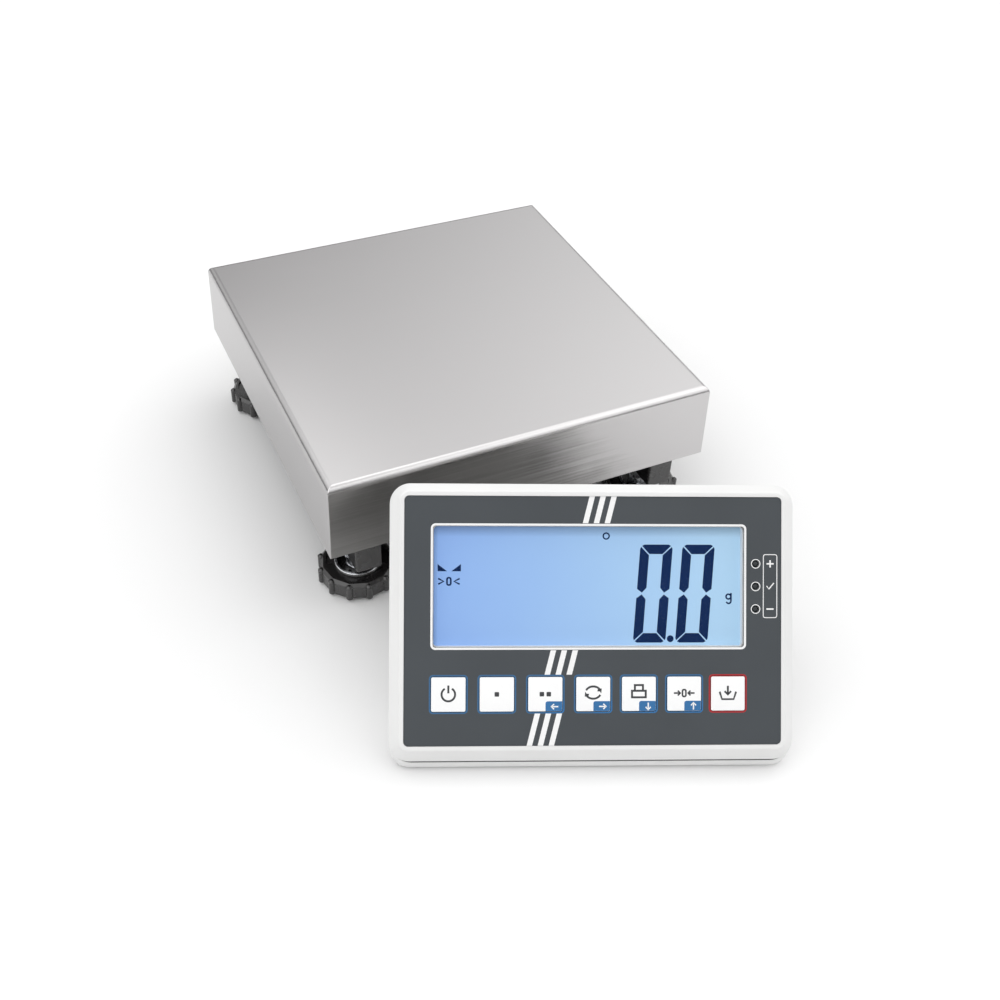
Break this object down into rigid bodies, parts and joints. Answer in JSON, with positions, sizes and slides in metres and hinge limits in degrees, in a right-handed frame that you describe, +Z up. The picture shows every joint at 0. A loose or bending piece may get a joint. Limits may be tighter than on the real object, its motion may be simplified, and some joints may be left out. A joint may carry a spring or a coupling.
{
  "type": "bench scale",
  "caption": "Bench scale with a square stainless weighing plate on levelling feet and a separate tilted display unit with a wide lit display and a row of keys.",
  "frame": {"origin": "on the bench, at the middle of the whole object's footprint", "axes": "+Z up, +Y from the display unit towards the weighing platform, +X to the right as seen from the front"},
  "size_m": [0.2396, 0.4153, 0.1083],
  "materials": {
    "stainless": "brushed stainless sheet",
    "frame_paint": "black powder coat",
    "stand_paint": "light grey powder coat",
    "black_plastic": "black nylon, satin",
    "housing_white": "white moulded plastic, satin",
    "foil_grey": "printed polyester foil",
    "key_white": "white with a printed frame",
    "seal_rubber": "grey seal",
    "rubber": "black rubber",
    "zinc_steel": "zinc plated",
    "cell_aluminium": "machined",
    "nickel_brass": "nickel plated brass",
    "brass": "turned brass",
    "clear_window": "clear acrylic",
    "lcd": "lit blue display with dark digits",
    "light_guide": "white light guide",
    "lens_white": "small white lamps",
    "white_frame": "white frame round the display",
    "board_green": "solder mask",
    "component_black": "moulded component bodies",
    "battery_wrap": "shrink wrap",
    "cable_grey": "PVC sheath",
    "vial_green": "level's vial",
    "socket_black": "socket body"
  },
  "bodies": {
    "base_frame": {"side_rails": "frame_paint", "rail_caps": "black_plastic", "cross_members": "frame_paint", "foot_bushes": "zinc_steel", "foot_lock_nuts": "zinc_steel", "load_cell": "cell_aluminium", "cell_base_spacer": "zinc_steel", "cell_base_bolts": "zinc_steel", "overload_stops": "zinc_steel", "cell_cable": "cable_grey", "frame_gland": "nickel_brass", "level_housing": "black_plastic", "level_vial": "vial_green"},
    "carrier": {"load_carrier": "zinc_steel", "plate_buffers": "rubber", "cell_top_spacer": "zinc_steel", "cell_top_bolts": "zinc_steel"},
    "plate": {"weighing_plate": "stainless"},
    "display": {"front_shell": "housing_white", "rear_cover": "housing_white", "housing_gasket": "seal_rubber", "display_foil": "foil_grey", "lcd_window": "clear_window", "lcd_bezel": "white_frame", "lcd_glass": "lcd", "lcd_backlight": "light_guide", "status_lamps": "lens_white", "key_switches": "component_black", "main_board": "board_green", "board_parts": "component_black", "battery_pack": "battery_wrap", "housing_screws": "zinc_steel", "wall_inserts": "brass", "display_feet": "rubber", "stand_pins": "zinc_steel", "power_socket": "socket_black", "data_socket": "nickel_brass", "display_gland": "nickel_brass"},
    "stand": {"rear_stand": "stand_paint", "stand_pads": "rubber"},
    "door": {"battery_door": "housing_white"},
    "front_left_foot": {"front_left_pad": "rubber"},
    "front_left_star": {"front_left_wheel": "black_plastic", "front_left_stud": "zinc_steel"},
    "front_right_foot": {"front_right_pad": "rubber"},
    "front_right_star": {"front_right_wheel": "black_plastic", "front_right_stud": "zinc_steel"},
    "rear_left_foot": {"rear_left_pad": "rubber"},
    "rear_left_star": {"rear_left_wheel": "black_plastic", "rear_left_stud": "zinc_steel"},
    "rear_right_foot": {"rear_right_pad": "rubber"},
    "rear_right_star": {"rear_right_wheel": "black_plastic", "rear_right_stud": "zinc_steel"},
    "key_power": {"key_power": "key_white"},
    "key_f1": {"key_f1": "key_white"},
    "key_f2": {"key_f2": "key_white"},
    "key_cycle": {"key_cycle": "key_white"},
    "key_print": {"key_print": "key_white"},
    "key_zero": {"key_zero": "key_white"},
    "key_tare": {"key_tare": "key_white"}
  },
  "joints": [
    {"name": "cell_deflection", "type": "slide", "parent": "base_frame", "child": "carrier", "axis": [0, 0, 1], "range_m": [-0.0005, 0], "stiffness_N_per_m": 200000, "springref_m": 0.0001, "deforming": ["load_cell"]},
    {"name": "plate_lift", "type": "slide", "parent": "carrier", "child": "plate", "axis": [0, 0, 1], "range_m": [0, 0.06]},
    {"name": "display_placement", "type": "slide", "parent": "base_frame", "child": "display", "axis": [-0.3907, -0.9205, 0], "range_m": [0, 0.15]},
    {"name": "stand_fold", "type": "hinge", "parent": "display", "child": "stand", "pos_m": [0.00579, -0.0878, 0.05725], "axis": [0.9205, -0.3907, 0], "range_deg": [-49, 0]},
    {"name": "battery_door_lift", "type": "slide", "parent": "display", "child": "door", "axis": [0.2858, 0.6732, -0.682], "range_m": [0, 0.012]},
    {"name": "front_left_height", "type": "slide", "parent": "base_frame", "child": "front_left_foot", "axis": [0, 0, 1], "range_m": [-0.0063, 0.0026]},
    {"name": "front_left_turn", "type": "hinge", "parent": "front_left_foot", "child": "front_left_star", "pos_m": [-0.08941, 0.00096, 0.007], "axis": [0, 0, 1], "range_deg": [-1800, 720]},
    {"name": "front_right_height", "type": "slide", "parent": "base_frame", "child": "front_right_foot", "axis": [0, 0, 1], "range_m": [-0.0063, 0.0026]},
    {"name": "front_right_turn", "type": "hinge", "parent": "front_right_foot", "child": "front_right_star", "pos_m": [0.09659, 0.00096, 0.007], "axis": [0, 0, 1], "range_deg": [-1800, 720]},
    {"name": "rear_left_height", "type": "slide", "parent": "base_frame", "child": "rear_left_foot", "axis": [0, 0, 1], "range_m": [-0.0063, 0.0026]},
    {"name": "rear_left_turn", "type": "hinge", "parent": "rear_left_foot", "child": "rear_left_star", "pos_m": [-0.08941, 0.17796, 0.007], "axis": [0, 0, 1], "range_deg": [-1800, 720]},
    {"name": "rear_right_height", "type": "slide", "parent": "base_frame", "child": "rear_right_foot", "axis": [0, 0, 1], "range_m": [-0.0063, 0.0026]},
    {"name": "rear_right_turn", "type": "hinge", "parent": "rear_right_foot", "child": "rear_right_star", "pos_m": [0.09659, 0.17796, 0.007], "axis": [0, 0, 1], "range_deg": [-1800, 720]},
    {"name": "key_power_press", "type": "slide", "parent": "display", "child": "key_power", "axis": [0.2858, 0.6732, -0.682], "range_m": [0, 0.0005], "stiffness_N_per_m": 600, "springref_m": -0.0005},
    {"name": "key_f1_press", "type": "slide", "parent": "display", "child": "key_f1", "axis": [0.2858, 0.6732, -0.682], "range_m": [0, 0.0005], "stiffness_N_per_m": 600, "springref_m": -0.0005},
    {"name": "key_f2_press", "type": "slide", "parent": "display", "child": "key_f2", "axis": [0.2858, 0.6732, -0.682], "range_m": [0, 0.0005], "stiffness_N_per_m": 600, "springref_m": -0.0005},
    {"name": "key_cycle_press", "type": "slide", "parent": "display", "child": "key_cycle", "axis": [0.2858, 0.6732, -0.682], "range_m": [0, 0.0005], "stiffness_N_per_m": 600, "springref_m": -0.0005},
    {"name": "key_print_press", "type": "slide", "parent": "display", "child": "key_print", "axis": [0.2858, 0.6732, -0.682], "range_m": [0, 0.0005], "stiffness_N_per_m": 600, "springref_m": -0.0005},
    {"name": "key_zero_press", "type": "slide", "parent": "display", "child": "key_zero", "axis": [0.2858, 0.6732, -0.682], "range_m": [0, 0.0005], "stiffness_N_per_m": 600, "springref_m": -0.0005},
    {"name": "key_tare_press", "type": "slide", "parent": "display", "child": "key_tare", "axis": [0.2858, 0.6732, -0.682], "range_m": [0, 0.0005], "stiffness_N_per_m": 600, "springref_m": -0.0005}
  ],
  "couplings": [
    {"joint": "front_left_height", "follows": "front_left_turn", "m_per_rad": 0.00019894},
    {"joint": "front_right_height", "follows": "front_right_turn", "m_per_rad": 0.00019894},
    {"joint": "rear_left_height", "follows": "rear_left_turn", "m_per_rad": 0.00019894},
    {"joint": "rear_right_height", "follows": "rear_right_turn", "m_per_rad": 0.00019894}
  ]
}
